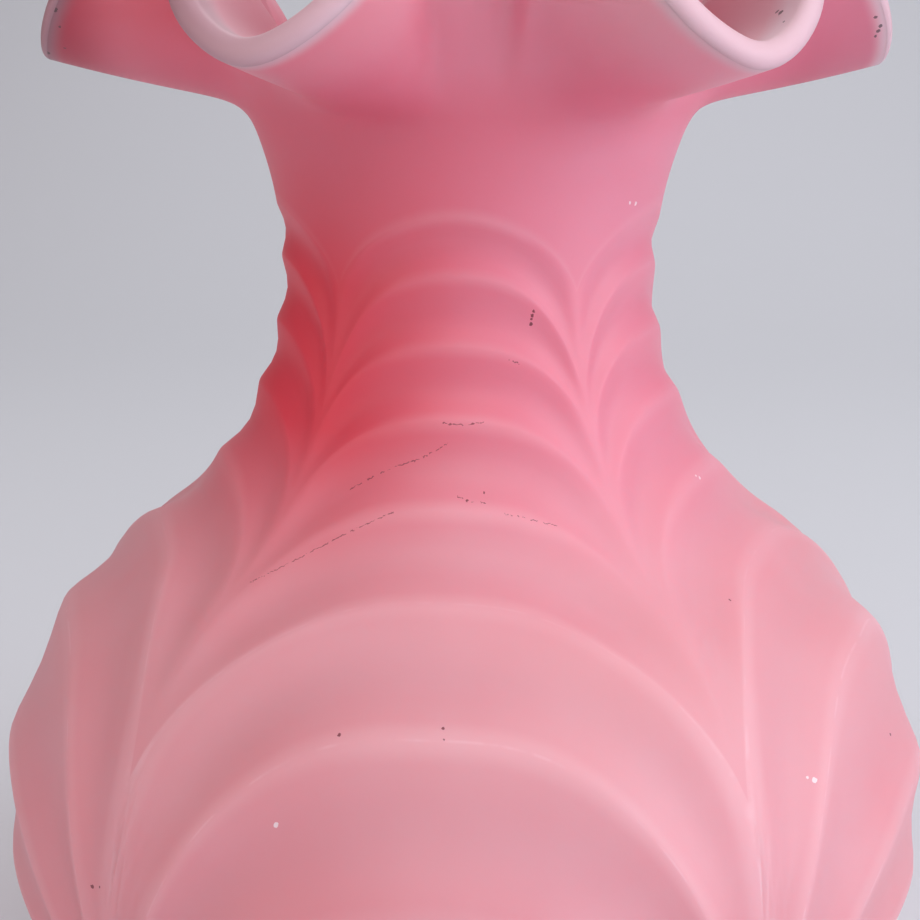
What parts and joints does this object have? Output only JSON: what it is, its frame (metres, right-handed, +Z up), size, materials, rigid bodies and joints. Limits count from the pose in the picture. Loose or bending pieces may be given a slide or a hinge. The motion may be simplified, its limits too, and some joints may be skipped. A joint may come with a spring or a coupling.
{
  "type": "ruffled bud vase",
  "caption": "Bulbous cased-glass vase with pressed drapery folds, a short neck and a ruffled, flared rim, for a small bunch of cut flowers.",
  "frame": {"origin": "centre of the foot, on the surface that the vase stands on", "axes": "+Z up through the mouth; -Y is the centre line of one drapery panel"},
  "size_m": [0.135, 0.1346, 0.1742],
  "materials": {
    "rose_glass": "acid-etched satin, opaque rose overlay",
    "opal_glass": "acid-etched satin, opaque white opal"
  },
  "bodies": {
    "root": {"rose_casing": "rose_glass", "opal_lining": "opal_glass"}
  },
  "joints": []
}
